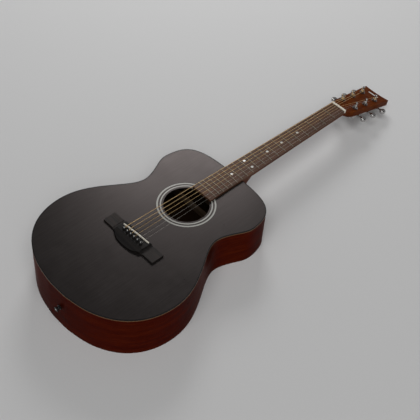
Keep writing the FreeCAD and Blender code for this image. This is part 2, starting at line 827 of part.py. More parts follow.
wall = hoop(0, wall_thick, -strips_deep, LOW).common(above_back(inside_back)).cut([tenon_room(), strap_hole])
for label, left_edge in (("side_treble", 0), ("side_bass", -300)):
    half_space = Part.makeBox(300, 900, 300, Vector(left_edge, -900, -200))
    keep(feature(f"{label}_shape", wall.common(half_space)), label)

# ---------------------------------------------------------------------- blocks, linings and braces

inner_body = prism(wall_thick, top_low, LOW).common(above_back(inside_back))
neck_block_room = Part.makeBox(76, 60, 200, Vector(-38, -dim.heel_station - 47, LOW))
tail_block_room = Part.makeBox(70, 60, 200, Vector(-35, -tail - 40, LOW))
neck_block = inner_body.common(neck_block_room).cut([tenon_room(), rod_way])
keep(feature("neck_block_shape", neck_block), "neck_block")
keep(feature("tail_block_shape", inner_body.common(tail_block_room).cut(strap_hole)), "tail_block")

blocks = [neck_block_room, tail_block_room]
lining_deep = float(dim.lining_deep)
top_lining = hoop(wall_thick, lining_inset, top_low, top_low - lining_deep).cut(blocks)
back_lining = hoop(wall_thick, lining_inset, -50, LOW).common(above_back(inside_back, lining_deep))
back_lining = back_lining.cut(blocks)
keep(feature("top_linings_shape", top_lining), "top_linings")
keep(feature("back_linings_shape", back_lining), "back_linings")

inside_linings = prism(lining_inset + 0.2, top_low, LOW)


def brace(start, finish, wide, tall, end_tall=3, taper=30):
    """A bar under the soundboard between two (x, station) points, thinned towards its ends."""
    a, b = Vector(start[0], -start[1], top_low), Vector(finish[0], -finish[1], top_low)
    long = (b - a).Length
    profile = [(0, 0), (long, 0), (long, -end_tall), (long - taper, -tall), (taper, -tall), (0, -end_tall)]
    points = [Vector(s, -wide / 2, z) for s, z in profile]
    bar = Part.Face(Part.makePolygon(points + points[:1])).extrude(Vector(0, wide, 0))
    bar.Placement = Placement(a, Rotation(Vector(1, 0, 0), b - a))
    return bar.common(inside_linings)


def mirrored(shape):
    return shape.mirror(Vector(0, 0, 0), Vector(1, 0, 0))


# the crossed main braces share a half-lap joint
leg_a = brace((-108, 468), (160, 745), 8, 14)
leg_b = brace((108, 468), (-160, 745), 8, 14)
crossing = leg_a.common(leg_b)
upper_half = Part.makeBox(60, 60, 7, Vector(-30, -610, top_low - 7))
leg_a = leg_a.cut(crossing.cut(upper_half))
leg_b = leg_b.cut(crossing.common(upper_half))
keep(feature("x_braces_shape", Part.makeCompound([leg_a, leg_b])), "x_braces")
bars = [brace((92, 692), (-75, 742), 6, 9), brace((66, 752), (-48, 792), 6, 8)]
keep(feature("tone_bars_shape", Part.makeCompound(bars)), "tone_bars")
side_bars = [brace((44, 612), (130, 588), 5, 7, taper=20), brace((82, 652), (165, 652), 5, 7, taper=20),
             brace((62, 424), (62, 488), 6, 6, taper=15)]
fingers = side_bars + [mirrored(bar) for bar in side_bars]
keep(feature("finger_braces_shape", Part.makeCompound(fingers)), "finger_braces")
keep(feature("transverse_shape", brace((-135, 412), (135, 412), 12, 16).cut(rod_way)), "transverse_brace")

plate_thick = 2.5
plate_corners = [(-40, 628), (40, 628), (70, 660), (70, 673), (-70, 673), (-70, 660)]
plate_points = [Vector(x, -s, top_low - plate_thick) for x, s in plate_corners]
bridge_plate = Part.Face(Part.makePolygon(plate_points + plate_points[:1])).extrude(Vector(0, 0, plate_thick))
plate_holes = [pin_hole(i, top_low + 0.5, top_low - plate_thick - 1) for i in range(6)]
keep(feature("bridge_plate_shape", bridge_plate.cut(plate_holes)), "bridge_plate")

low_room = prism(lining_inset + 0.2, -50, LOW)
back_bars = []
for station in (430, 535, 640, 745):
    slab = Part.makeBox(500, 8, 200, Vector(-250, -station - 4, LOW))
    back_bars.append(low_room.common(slab).common(above_back(inside_back, 14)))
keep(feature("back_braces_shape", Part.makeCompound(back_bars)), "back_braces")
strip_room = Part.makeBox(18, 424, 200, Vector(-9, -822, LOW))
strip = low_room.common(strip_room).common(above_back(inside_back, 2)).cut(back_bars)
keep(feature("back_strip_shape", strip), "back_strip")

# ------------------------------------------------------------------------- truss rod, strap button

to_tail = Rotation(Vector(1, 0, 0), 90)  # turns an upright piece's top towards the tail
rod_end, rod_low = dim.rod_end, -dim.rod_below
thread_radius = 2
rod = cylinder("rod_bar", dim.rod_radius, rod_end - dim.rod_start, 0, -dim.rod_start, rod_low, to_tail)
thread = cylinder("rod_thread", thread_radius, 8, 0, -rod_end, rod_low, to_tail)
keep(fuse("rod_whole", rod, thread), "truss_rod")

rod_nut = doc.addObject("PartDesign::Body", "rod_nut_body")
nut_face = new_sketch(rod_nut, "XY_Plane", "rod_nut_hexagon")
corner_radius = 4
angles = [math.radians(60 * i) for i in range(6)]
polygon(nut_face, [(corner_radius * math.cos(a), corner_radius * math.sin(a)) for a in angles])
nut_pad = rod_nut.newObject("PartDesign::Pad", "rod_nut_pad")
nut_pad.Profile = nut_face
bind(nut_pad, "Length", dim.rod_nut_long)
pocket(rod_nut, "XY_Plane", "rod_nut_bore", lambda s: circle(s, 0, 0, thread_radius + dim.running_gap))
keep(rod_nut, "truss_rod_nut", SEAT * Placement(Vector(0, -rod_end - 0.1, rod_low), to_tail))

plug, head_r, waist = dim.strap_plug_radius, dim.strap_head_radius, dim.strap_neck_radius
dot_r, dot_floor = 1.8, 8.8
strap = turned("strap_turned", [
    (0, -18), (plug - 0.4, -18), (plug - 0.04, -16), (plug - 0.04, 0.02), (head_r - 0.2, 0.02),
    (head_r - 0.2, 1.2), (waist + 0.3, 2.4), (waist, 5.4), (head_r - 1, 6.4), (head_r, 7), (head_r, 8.9),
    (head_r - 1.2, dot_floor + 1), (dot_r, dot_floor + 1), (dot_r, dot_floor), (0, dot_floor),
])
tail_seat = SEAT * Placement(Vector(dim.strap_across, -tail, -dim.strap_below), to_tail)
strap_dot = cylinder("strap_dot_disc", dot_r, 1, 0, 0, dot_floor)
keep(strap, "strap_button", tail_seat)
keep(group("strap_dot_group", strap_dot), "strap_button_dot", tail_seat)

# ----------------------------------------------------------------------------- tuning machines

under = -dim.head_thick  # the headstock's back, in its own frame
gear_top = under - 1.3
worm_z = gear_top - dim.gear_thick / 2
WORM_HALF = 6.4
SHAFT_RADIUS = 2
STRING_LEVEL = 8  # height of the strings over the headstock's face


def tuner_housing(side):
    """A cast shell under the headstock with rooms for the gear and the worm; side is the outward X."""
    base, outward = under - dim.housing_deep, Vector(1, 0, 0)
    shell = Part.makeBox(18.4, 22, dim.housing_deep, Vector(-9, -8.8, base))
    shell = shell.makeFillet(4, [e for e in shell.Edges if e.BoundBox.ZLength > 5])
    shell = shell.makeFillet(1.8, [e for e in shell.Edges if e.BoundBox.ZMax < base + 0.01])
    ear_radius, ear_low = 3.4, under - dim.ear_thick
    ear = Part.makeCylinder(ear_radius, dim.ear_thick, Vector(0, -dim.ear_behind, ear_low))
    arm = Part.makeBox(2 * ear_radius, dim.ear_behind - 6, dim.ear_thick,
                       Vector(-ear_radius, -dim.ear_behind, ear_low))
    sleeve = Part.makeCylinder(3.3, 4.5, Vector(9, dim.worm_offset, worm_z), outward)
    shell = shell.fuse([ear, arm, sleeve])
    room = 0.3  # round the gear and the worm, at each end
    gear_room = Part.makeCylinder(dim.gear_radius + 0.4, dim.gear_thick + 2 * room,
                                  Vector(0, 0, gear_top - dim.gear_thick - room))
    worm_room = Part.makeCylinder(dim.worm_radius + room, 2 * (WORM_HALF + room),
                                  Vector(-WORM_HALF - room, dim.worm_offset, worm_z), outward)
    shaft_way = Part.makeCylinder(SHAFT_RADIUS + dim.running_gap, 14,
                                  Vector(0, dim.worm_offset, worm_z), outward)
    post_way = Part.makeCylinder(dim.post_radius + dim.running_gap, 6, Vector(0, 0, under - 4))
    screw_way = Part.makeCylinder(dim.screw_radius + 0.1, 10, Vector(0, -dim.ear_behind, under - 6))
    shell = shell.cut([gear_room, worm_room, shaft_way, post_way, screw_way])
    return shell if side > 0 else mirrored(shell)


def tuner_bushing():
    lift = 0.6 - dim.head_thick
    sleeve = cylinder("bushing_sleeve", dim.head_hole_radius - 0.1, dim.washer_thick - lift, 0, 0, lift)
    flats = doc.addObject("Part::Prism", "bushing_hexagon")
    flats.Polygon = 6
    bind(flats, "Circumradius", dim.bushing_flats / math.sqrt(3))
    bind(flats, "Height", dim.bushing_tall)
    place(flats, 0, 0, dim.washer_thick)
    bore = cylinder("bushing_bore", dim.post_radius + dim.running_gap, 40, 0, 0, -20)
    return cut("bushing_pattern", fuse("bushing_blank", sleeve, flats), bore)


def tuner_washer():
    disc = cylinder("washer_disc", dim.washer_radius, dim.washer_thick)
    bore = cylinder("washer_bore", dim.head_hole_radius, dim.washer_thick)
    return cut("washer_pattern", disc, bore)


def tuner_screw():
    seat, head_tall = under - dim.ear_thick, 1.3
    screw = cylinder("screw_shank", dim.screw_radius - 0.01, dim.ear_thick + 7, 0, -dim.ear_behind, seat)
    head = cone("screw_head", 1.3, 2.3, head_tall, 0, -dim.ear_behind, seat - head_tall)
    return fuse("screw_pattern", screw, head)


def gear_on(body):
    """Cut the worm wheel's teeth round the foot of a post."""
    gap_at, gap_radius = dim.gear_radius + 0.3, 0.85
    notch = pocket(body, "XY_Plane", f"{body.Name}_tooth_gap", lambda s: circle(s, gap_at, 0, gap_radius))
    doc.recompute()
    pattern = body.newObject("PartDesign::PolarPattern", f"{body.Name}_teeth")
    pattern.Originals = [notch]
    axis = next(f for f in body.Origin.OriginFeatures if f.Role == "Z_Axis")
    pattern.Axis = (axis, [""])
    pattern.Angle = 360
    pattern.Occurrences = int(dim.gear_teeth)
    body.Tip = pattern


def tuner_post(index):
    r, wheel, tall = dim.post_radius, dim.gear_radius, dim.post_tall
    post = turned(f"post_{index + 1}_turned", [
        (0, gear_top - dim.gear_thick), (wheel, gear_top - dim.gear_thick), (wheel, gear_top), (r, gear_top),
        (r, 10), (r - 0.5, 10.8), (r - 0.5, 14.4), (r, 15.2), (r, tall - 0.6), (r - 0.6, tall), (0, tall),
    ])
    pocket(post, "YZ_Plane", f"post_{index + 1}_string_hole", lambda s: circle(s, 0, 12.6, 0.8))
    gear_on(post)
    return post


def tuner_key(side):
    """Button, shaft and worm in one piece, along X from the worm's middle."""
    worm = Part.makeCylinder(dim.worm_radius, 2 * WORM_HALF, Vector(-WORM_HALF, 0, 0), Vector(1, 0, 0))
    reach = float(dim.key_reach - dim.post_across)
    shaft = Part.makeCylinder(SHAFT_RADIUS, reach - WORM_HALF, Vector(WORM_HALF, 0, 0), Vector(1, 0, 0))
    collar_at = reach - float(dim.key_across) / 2 - 2.6
    collar = Part.makeCone(2.6, 3.4, 4.4, Vector(collar_at, 0, 0), Vector(1, 0, 0))
    oval = Part.Ellipse(Vector(0, 0, 0), dim.key_long / 2, dim.key_across / 2).toShape()
    oval.rotate(Vector(), Vector(0, 0, 1), 90)
    oval.translate(Vector(reach, 0, -dim.key_thick / 2))
    grip = Part.Face(Part.Wire(oval)).extrude(Vector(0, 0, dim.key_thick))
    rims = [e for e in grip.Edges if e.BoundBox.ZLength < 0.01]
    grip = grip.makeFillet(3.2, rims)
    key = worm.fuse([shaft, collar, grip]).removeSplitter()
    return key if side > 0 else mirrored(key)


def winding(index):
    """The string's turns round its post: stacked rings that share one bore."""
    r = STRING_RADII[index]
    turns = (6, 5, 4, 4, 3, 3)[index]
    inner = float(dim.post_radius) + 0.01
    top = STRING_LEVEL + r
    edges = []
    for turn in range(turns):
        z = top - 2 * r * turn
        widest = Vector(inner + 2 * r, 0, z - r)
        bottom = Vector(inner + r, 0, z - 2 * r)
        edges.append(Part.Arc(Vector(inner + r, 0, z), widest, bottom).toShape())
    low = top - 2 * r * turns
    corners = [Vector(x, 0, z) for x, z in ((inner + r, low), (inner, low), (inner, top), (inner + r, top))]
    edges += [Part.LineSegment(a, b).toShape() for a, b in zip(corners, corners[1:])]
    return Part.Face(Part.Wire(edges)).revolve(Vector(), Vector(0, 0, 1), 360)


def at_post(index, rise=0):
    return Placement(post_place(index) + Vector(0, 0, rise), Rotation())


bushing, washer, screw = tuner_bushing(), tuner_washer(), tuner_screw()
doc.recompute()
tuner_shapes = {
    "tuner_housings": [tuner_housing(side) for side in STRING_SIDES],
    "tuner_bushings": [bushing.Shape] * 6,
    "tuner_washers": [washer.Shape] * 6,
    "tuner_screws": [screw.Shape] * 6,
}
for label, shapes in tuner_shapes.items():
    copies = [feature(f"{label}_{i + 1}", shape.copy()) for i, shape in enumerate(shapes)]
    for i, copy in enumerate(copies):
        copy.Placement = at_post(i) * copy.Placement
    keep(group(f"{label}_group", *copies), label, HEAD)

for i in range(6):
    number = i + 1
    keep(tuner_post(i), f"tuner_post_{number}", HEAD * at_post(i))
    key_spot = Placement(post_place(i) + Vector(0, dim.worm_offset, worm_z), Rotation())
    keep(feature(f"key_{number}_shape", tuner_key(STRING_SIDES[i])), f"tuner_key_{number}", HEAD * key_spot)
    keep(feature(f"winding_{number}_shape", winding(i)), f"string_winding_{number}", HEAD * at_post(i))

# ---------------------------------------------------------------------------------------- strings


def bent_path(points, radii):
    """Straight runs joined by tangent arcs, one radius for each inner corner."""
    edges = []
    last = points[0]
    for before, corner, after, radius in zip(points, points[1:], points[2:], radii):
        back, on = (before - corner).normalize(), (after - corner).normalize()
        turn = math.pi - back.getAngle(on)
        reach = radius * math.tan(turn / 2)
        middle = (back + on).normalize() * (radius / math.cos(turn / 2) - radius)
        start, finish = corner + back * reach, corner + on * reach
        edges.append(Part.LineSegment(last, start).toShape())
        edges.append(Part.Arc(start, corner + middle, finish).toShape())
        last = finish
    edges.append(Part.LineSegment(last, points[-1]).toShape())
    return Part.Wire(edges)


def string_solid(index):
    """Ball, rise through the bridge, speaking length and run to the post, as one piece."""
    r = STRING_RADII[index]
    x0, x1 = pin_x(index), nut_x(index)
    pin_y = -float(dim.pin_station)
    rise_y = pin_y + STRING_AHEAD
    ball = Vector(x0, pin_y + BALL_AHEAD, top_low - plate_thick - BALL_RADIUS - 0.1)
    foot = Vector(x0, rise_y, ball.z + 1)
    exit_point = Vector(x0, rise_y, STRING_EXIT)
    nut_y = float(dim.nut_long) - 0.2
    crest_y = -saddle_station_at(x0)
    share = (crest_y - rise_y) / (nut_y - rise_y)
    crest_x = x0 + (x1 - x0) * share
    crest_point = Vector(crest_x, crest_y, saddle_height(crest_x) + r + 0.22)
    nut_point = Vector(x1, nut_y, nut_floor(index) + r + 0.08)
    side = STRING_SIDES[index]
    touch = post_place(index) + Vector(-side * (dim.post_radius + r), 0, STRING_LEVEL)
    touch = head_in_guitar.multVec(touch)
    post = float(dim.post_radius)
    short = math.sqrt((post + 2 * r) ** 2 - post**2) + 0.15  # ends where the turns on the post begin
    end = touch + (nut_point - touch).normalize() * short
    path = bent_path([ball, foot, exit_point, crest_point, nut_point, end], (1, 1.5, 4, 3))
    profile = Part.Wire(Part.makeCircle(r, ball, foot - ball))
    wire_solid = path.makePipeShell([profile], True, False)
    half = BALL_RADIUS
    ball_solid = Part.makeCylinder(half, 2 * half, ball - Vector(half, 0, 0), Vector(1, 0, 0))
    return wire_solid.fuse(ball_solid)


for i in range(6):
    keep(feature(f"string_{i + 1}_shape", string_solid(i)), f"string_{i + 1}")

# ------------------------------------------------------------------------------ check and export

doc.recompute()
problems = [o.Name for o in doc.Objects if {"Invalid", "Error"} & set(o.State)]
for piece in nodes:
    shape = piece.Shape
    if shape.isNull() or not shape.isValid() or not shape.Solids:
        problems.append(piece.Label)
if problems:
    raise RuntimeError("these pieces failed: " + ", ".join(problems))
for piece in nodes:
    piece.Shape.exportStep(f"parts/{piece.Label}.step")
print(len(nodes), "sub-parts written")
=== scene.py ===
import json
import math

import bpy
from mathutils import Matrix, Vector


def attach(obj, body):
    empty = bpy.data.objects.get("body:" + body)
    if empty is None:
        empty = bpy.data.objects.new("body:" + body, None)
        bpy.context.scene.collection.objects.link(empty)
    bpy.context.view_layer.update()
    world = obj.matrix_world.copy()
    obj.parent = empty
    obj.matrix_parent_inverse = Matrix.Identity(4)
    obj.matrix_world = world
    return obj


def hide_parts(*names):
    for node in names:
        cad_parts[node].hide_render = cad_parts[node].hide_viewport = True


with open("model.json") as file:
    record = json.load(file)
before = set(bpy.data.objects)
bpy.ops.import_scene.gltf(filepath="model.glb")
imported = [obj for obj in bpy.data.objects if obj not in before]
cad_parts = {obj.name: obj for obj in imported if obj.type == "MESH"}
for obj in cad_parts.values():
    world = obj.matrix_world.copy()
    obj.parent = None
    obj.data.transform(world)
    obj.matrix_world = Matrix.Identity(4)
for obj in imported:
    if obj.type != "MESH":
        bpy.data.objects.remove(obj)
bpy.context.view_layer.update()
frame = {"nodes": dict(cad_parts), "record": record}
subparts = frame["record"]["subparts"]
scene = bpy.context.scene

# The record's frame: Z up, Y to the headstock, X to the treble side. The guitar's own axes, with the
# nut's end of the soundboard's plane as their origin, are tipped about X so that the flat back lies on
# the floor. The strings' ends, the key light and the camera are placed with them.
TILT = math.radians(2.674)
LIFT = Vector((0, 0.6, 0.103652))


def guitar_point(across, along, up):
    """A point given in metres from the nut, on the soundboard's plane, in the row's frame."""
    return Matrix.Rotation(-TILT, 3, "X") @ (Vector((across, along, up)) + LIFT)


def guitar_direction(across, along, up):
    """A direction along the guitar's own axes, in the row's frame."""
    return Matrix.Rotation(-TILT, 3, "X") @ Vector((across, along, up))


def seen_direction(tailward, treble, up):
    """A direction as the photographer sees it: towards the tail, towards the treble side and up."""
    return guitar_direction(treble, -tailward, up)


# ------------------------------------------------------------------------------- material helpers

EVENLY = UNTINTED = (1, 1, 1)
STILL = (0, 0, 0)
COLOR_INPUTS = ("Base Color", "Specular Tint")
# where most of a noise texture's values lie
MOST = (0.3, 0.7)
# wood: how much finer than its growth bands the streaks are, and the pores across and along the grain
FINER_STREAKS, FINER_ACROSS, FINER_ALONG = 3.2, 9, 6
PORE_SHADE, TARNISH_SHADE, GROOVE_PAINTED_SHADE, SPECKLE_SHADE = 0.35, 0.55, 0.5, 0.96


def is_socket(value):
    """Whether a value comes from another node, and isn't a plain number or colour."""
    return isinstance(value, bpy.types.NodeSocket)


class Nodes:
    """A node tree with short calls for adding and joining nodes: a material's own, or the one given."""

    def __init__(self, name, tree=None):
        if tree is None:
            self.material = bpy.data.materials.new(name)
            self.material.use_nodes = True
            tree = self.material.node_tree
        self.tree = tree
        self.shader = tree.nodes.get("Principled BSDF")

    def put(self, target, value):
        if is_socket(value):
            self.tree.links.new(value, target)
        else:
            target.default_value = value

    def add(self, kind, values=None, **settings):
        node = self.tree.nodes.new(kind)
        for name, value in settings.items():
            setattr(node, name, value)
        for name, value in (values or {}).items():
            self.put(node.inputs[name], value)
        return node

    def where(self, scale=EVENLY, turn=STILL, shift=STILL):
        """Object-space coordinates, scaled so that a texture can be stretched along one axis."""
        coordinates = self.add("ShaderNodeTexCoord").outputs["Object"]
        return self.add("ShaderNodeMapping", {"Vector": coordinates, "Scale": scale, "Rotation": turn,
                                              "Location": shift}).outputs["Vector"]

    def part_of(self, vector, axis):
        """One coordinate of a vector."""
        return self.add("ShaderNodeSeparateXYZ", {"Vector": vector}).outputs[axis]

    def noise(self, vector, scale, detail=4.0, rough=0.55, distort=0.0):
        return self.add("ShaderNodeTexNoise", {"Vector": vector, "Scale": scale, "Detail": detail,
                                               "Roughness": rough, "Distortion": distort}).outputs["Fac"]

    def ramp(self, factor, stops):
        node = self.add("ShaderNodeValToRGB", {"Fac": factor})
        elements = node.color_ramp.elements
        while len(elements) < len(stops):
            elements.new(0.5)
        for element, (place, color) in zip(elements, stops):
            element.position = place
            element.color = (*color, 1)
        return node.outputs["Color"]

    def span(self, factor, low, high, at_low=0.0, at_high=1.0):
        """Map a factor between two values onto another span."""
        return self.add("ShaderNodeMapRange", {"Value": factor, "From Min": low, "From Max": high,
                                               "To Min": at_low, "To Max": at_high}).outputs["Result"]

    def math(self, operation, a, b=0.0):
        node = self.add("ShaderNodeMath", operation=operation)
        self.put(node.inputs[0], a)
        self.put(node.inputs[1], b)
        return node.outputs[0]

    def mix(self, factor, a, b):
        """Blend two colours; inputs 6 and 7 and output 2 are the node's colour sockets."""
        node = self.add("ShaderNodeMix", data_type="RGBA")
        self.put(node.inputs[0], factor)
        self.put(node.inputs[6], a if is_socket(a) else (*a, 1))
        self.put(node.inputs[7], b if is_socket(b) else (*b, 1))
        return node.outputs[2]

    def bump(self, height, strength, distance, over=None):
        values = {"Height": height, "Strength": strength, "Distance": distance}
        if over is not None:
            values["Normal"] = over
        return self.add("ShaderNodeBump", values).outputs["Normal"]

    def finish(self, **inputs):
        """Set the shader's inputs, named with underscores, and give back the material."""
        for name, value in inputs.items():
            key = name.replace("_", " ")
            if key in COLOR_INPUTS and not is_socket(value):
                value = (*value, 1)
            self.put(self.shader.inputs[key], value)
        return self.material


def wood(name, dark, mid, light, grain, turn=STILL, pores=0.5, rough=(0.35, 0.5), coat=0.0,
         coat_rough=0.12, streak=0.5, bump=0.12, shine=0.5, tinted=0.0, edge=UNTINTED):
    """Straight-grained wood: growth bands, fine streaks along the grain, pores and an optional lacquer.
    Tinted is the share of its sheen that takes the stain's colour, and edge is that sheen's tint where
    it glances."""
    n = Nodes(name)
    bands = n.noise(n.where(grain, turn), 1.0, 6.0, 0.6, 0.6)
    fine = n.noise(n.where([FINER_STREAKS * g for g in grain], turn), 2.0, 8.0, 0.7)
    tone = n.math("ADD", n.math("MULTIPLY", bands, 1 - streak), n.math("MULTIPLY", fine, streak))
    color = n.ramp(tone, [(0.30, dark), (0.5, mid), (0.70, light)])
    finer = (FINER_ACROSS, FINER_ALONG, FINER_ACROSS)
    cells = n.noise(n.where([f * g for f, g in zip(finer, grain)], turn), 3.0, 2.0, 0.5)
    hole = n.span(cells, 0.30, 0.42)
    open_pore = n.math("SUBTRACT", 1.0, hole)
    color = n.mix(n.math("MULTIPLY", open_pore, pores), color, [PORE_SHADE * c for c in dark])
    roughness = n.span(bands, *MOST, rough[0], rough[1])
    normal = n.bump(n.math("ADD", fine, hole), bump, 0.0004)
    orange_peel = n.bump(n.noise(n.where(), 90.0, 2.0), 0.02, 0.001)
    return n.finish(Base_Color=color, Roughness=roughness, Normal=normal, Coat_Weight=coat,
                    Coat_Roughness=coat_rough, Coat_Normal=orange_peel, Coat_IOR=1.4,
                    Specular_IOR_Level=shine, Metallic=tinted, Specular_Tint=edge)


def lacquer(name, color, shade, rough, coat=1.0, coat_rough=0.15, shine=0.5):
    """Even colour under clear lacquer with faint ripple, dust and wiping marks."""
    n = Nodes(name)
    cloud = n.noise(n.where(), 9.0, 5.0, 0.6)
    haze = n.noise(n.where((1, 0.25, 1)), 60.0, 6.0, 0.65)
    base = n.mix(cloud, color, shade)
    roughness = n.span(haze, *MOST, rough - 0.06, rough + 0.06)
    ripple = n.bump(n.noise(n.where(), 120.0, 2.0), 0.03, 0.0006)
    return n.finish(Base_Color=base, Roughness=roughness, Normal=ripple, Coat_Weight=coat,
                    Coat_Roughness=coat_rough, Coat_Normal=ripple, Specular_IOR_Level=shine)


def metal(name, color, rough, scratch, stretch=EVENLY, wrap=0):
    """Plated or drawn metal with hairline scratches, finger haze and tarnish spots. Wrap is how close
    the ridges of a wound wire lie along the guitar; the grooves between them get painted shade."""
    n = Nodes(name)
    haze = n.noise(n.where(), 70.0, 6.0, 0.65)
    hair = n.noise(n.where(stretch), 900.0, 3.0, 0.6)
    spots = n.noise(n.where(shift=(3, 1, 2)), 260.0, 4.0, 0.7)
    base = n.mix(n.span(spots, 0.58, 0.75, 0.0, 0.35), color, [TARNISH_SHADE * c for c in color])
    roughness = n.span(haze, 0.3, 0.75, rough[0], rough[1])
    normal = n.bump(hair, scratch, 0.0001)
    if wrap:
        turns = n.add("ShaderNodeTexWave", {"Vector": n.where(), "Scale": wrap}, bands_direction="Y")
        normal = n.bump(turns.outputs["Fac"], 0.6, 0.0001, normal)
        # painted shade in the grooves between the windings
        base = n.mix(turns.outputs["Fac"], [GROOVE_PAINTED_SHADE * c for c in color], base)
    return n.finish(Base_Color=base, Metallic=1.0, Roughness=roughness, Normal=normal)


# ---------------------------------------------------------------------------------------- materials

# across the bridge, where its carved middle gives way to the worn wings, in metres from the centre line
WING_STARTS = (0.041, 0.050)
# up through the back plate, where its lacquered outside gives way to the bare inside, darkened with
# painted shade
BACK_INSIDE = (0.0020, 0.0025)


def soundboard_black():
    """Black stain over spruce: fine straight grain showing faintly through a thin satin lacquer. The
    metallic share and the specular tint hold the sheen down at glancing angles, as on the real top."""
    n = Nodes("soundboard_black")
    grain = n.noise(n.where((420, 2.5, 420)), 1.0, 5.0, 0.6)
    silk = n.noise(n.where((30, 60, 30)), 1.0, 3.0, 0.5)
    base = n.mix(n.span(grain, 0.35, 0.65), (0.0425, 0.0370, 0.0358), (0.0500, 0.0440, 0.0427))
    cloud = n.noise(n.where(shift=(2, 7, 0)), 5.0, 4.0, 0.6)
    base = n.mix(n.span(cloud, *MOST, 0.0, 0.22), base, (0.030, 0.0255, 0.0245))
    dust = n.noise(n.where(shift=(5, 0, 0)), 14.0, 7.0, 0.7)
    hairlines = n.span(n.noise(n.where((60, 900, 60), (0, 0, 0.5)), 1.0, 3.0, 0.6), 0.66, 0.72)
    roughness = n.math("ADD", n.span(dust, *MOST, 0.275, 0.335), n.span(silk, *MOST, -0.01, 0.01))
    roughness = n.math("ADD", roughness, n.math("MULTIPLY", hairlines, 0.05))
    normal = n.bump(grain, 0.05, 0.0003)
    return n.finish(Base_Color=base, Metallic=0.82, Roughness=roughness, Normal=normal,
                    Specular_IOR_Level=0.5, Specular_Tint=(0.60, 0.53, 0.52))


def mahogany(name, grain, turn=STILL, bright=1.0, coat=0.06, gold=1.0, tinted=0.0, edge=UNTINTED):
    """Red-brown stained mahogany under a thin satin lacquer; gold shifts the stain towards orange."""
    dark, mid, light = (0.030, 0.0036, 0.0008), (0.075, 0.0095, 0.0016), (0.135, 0.024, 0.0042)
    tones = [[bright * r, bright * gold * g, bright * b] for r, g, b in (dark, mid, light)]
    return wood(name, *tones, grain=grain, turn=turn, pores=0.35, rough=(0.30, 0.44), coat=coat,
                coat_rough=0.08, streak=0.45, bump=0.08, shine=0.03, tinted=tinted, edge=edge)


def bridge_wood():
    """Nearly black rosewood, rubbed grey-brown along the grain on its thin wings."""
    n = Nodes("bridge_rosewood")
    bands = n.noise(n.where((7, 170, 170)), 1.0, 7.0, 0.65, 0.4)
    fine = n.noise(n.where((40, 900, 900)), 1.0, 4.0, 0.6)
    color = n.ramp(bands, [(0.32, (0.0022, 0.0016, 0.0014)), (0.52, (0.0050, 0.0038, 0.0032)),
                           (0.72, (0.0120, 0.0088, 0.0072))])
    across = n.part_of(n.where(), "X")
    wing = n.span(n.math("ABSOLUTE", across), *WING_STARTS)
    streaks = n.span(n.math("MULTIPLY", bands, fine), 0.18, 0.34, 0.25, 1.0)
    color = n.mix(n.math("MULTIPLY", wing, streaks), color, (0.036, 0.028, 0.025))
    roughness = n.span(bands, *MOST, 0.46, 0.66)
    normal = n.bump(n.math("ADD", bands, fine), 0.35, 0.0004)
    return n.finish(Base_Color=color, Roughness=roughness, Normal=normal, Specular_IOR_Level=0.22)


def painted_shade_inside(material):
    """The same wood, bare inside where only the soundhole shows it, and darkened there with painted
    shade.
    """
    n = Nodes(material.name, material.node_tree)
    base_color = n.shader.inputs["Base Color"]
    outside = base_color.links[0].from_socket
    bare_in_painted_shade = n.span(n.part_of(n.where(), "Z"), *BACK_INSIDE)
    # inside: bare wood darkened with painted shade, nearly black
    n.put(base_color, n.mix(bare_in_painted_shade, outside, (0.010, 0.0050, 0.0024)))
    return material


slots = {
    "soundboard": soundboard_black(),
    "rosette": lacquer("rosette_rings", (0.40, 0.40, 0.36), (0.31, 0.31, 0.28), rough=0.40, coat=0.3,
                       coat_rough=0.3),
    "binding": lacquer("binding_black", (0.004, 0.004, 0.004), (0.009, 0.008, 0.008), rough=0.4,
                       coat=0.03, coat_rough=0.3, shine=0.12),
    "purfling": lacquer("purfling_cream", (0.20, 0.102, 0.042), (0.145, 0.070, 0.028), rough=0.5,
                        coat=0.03, coat_rough=0.3, shine=0.15),
    "sides": mahogany("sides_mahogany", (6, 6, 90), bright=1.15, coat=0.04, tinted=0.75,
                      edge=(0.30, 0.10, 0.07)),
    "back": painted_shade_inside(mahogany("back_mahogany", (90, 4, 90))),
    "bare_wood": wood("bare_spruce", (0.026, 0.013, 0.0055), (0.042, 0.023, 0.010),
                      (0.060, 0.035, 0.017), grain=(120, 5, 120), rough=(0.6, 0.8), pores=0.2),
    "neck": mahogany("neck_mahogany", (90, 5, 90), turn=(0, 0, 0.06), bright=1.35, coat=0.04,
                     gold=1.55),
    "fretboard": wood("fretboard_rosewood", (0.026, 0.0095, 0.0042), (0.088, 0.037, 0.0175),
                      (0.195, 0.094, 0.050), grain=(150, 5, 150), rough=(0.40, 0.54), pores=0.55,
                      streak=0.45, bump=0.2, shine=0.25),
    "bridge": bridge_wood(),
    "fret_wire": metal("nickel_silver", (0.27, 0.235, 0.185), (0.34, 0.46), 0.2, (0.1, 1, 1)),
    "pearl": lacquer("pearl", (0.72, 0.71, 0.66), (0.55, 0.58, 0.56), rough=0.25),
    "bone": lacquer("bone", (0.80, 0.77, 0.68), (0.68, 0.63, 0.52), rough=0.38, coat=0.3,
                    coat_rough=0.3),
    "black_plastic": lacquer("black_plastic", (0.006, 0.006, 0.006), (0.010, 0.009, 0.009), rough=0.38,
                             coat=0.05, coat_rough=0.25, shine=0.3),
    "chrome": metal("chrome_plate", (0.44, 0.43, 0.42), (0.06, 0.16), 0.1),
    "steel_rod": metal("plain_steel", (0.35, 0.34, 0.33), (0.3, 0.5), 0.5),
    "bronze_wire": metal("bronze_winding", (0.98, 0.70, 0.36), (0.46, 0.58), 0.1, wrap=780),
    "steel_wire": metal("steel_string", (0.56, 0.53, 0.48), (0.45, 0.58), 0.1),
}
for part in subparts:
    mesh = frame["nodes"][part["node"]].data
    mesh.materials.clear()
    mesh.materials.append(slots[part["material_slot"]])

# ----------------------------------------------------------------------------------- detailed pieces

slot_of = {part["node"]: part["material_slot"] for part in subparts}


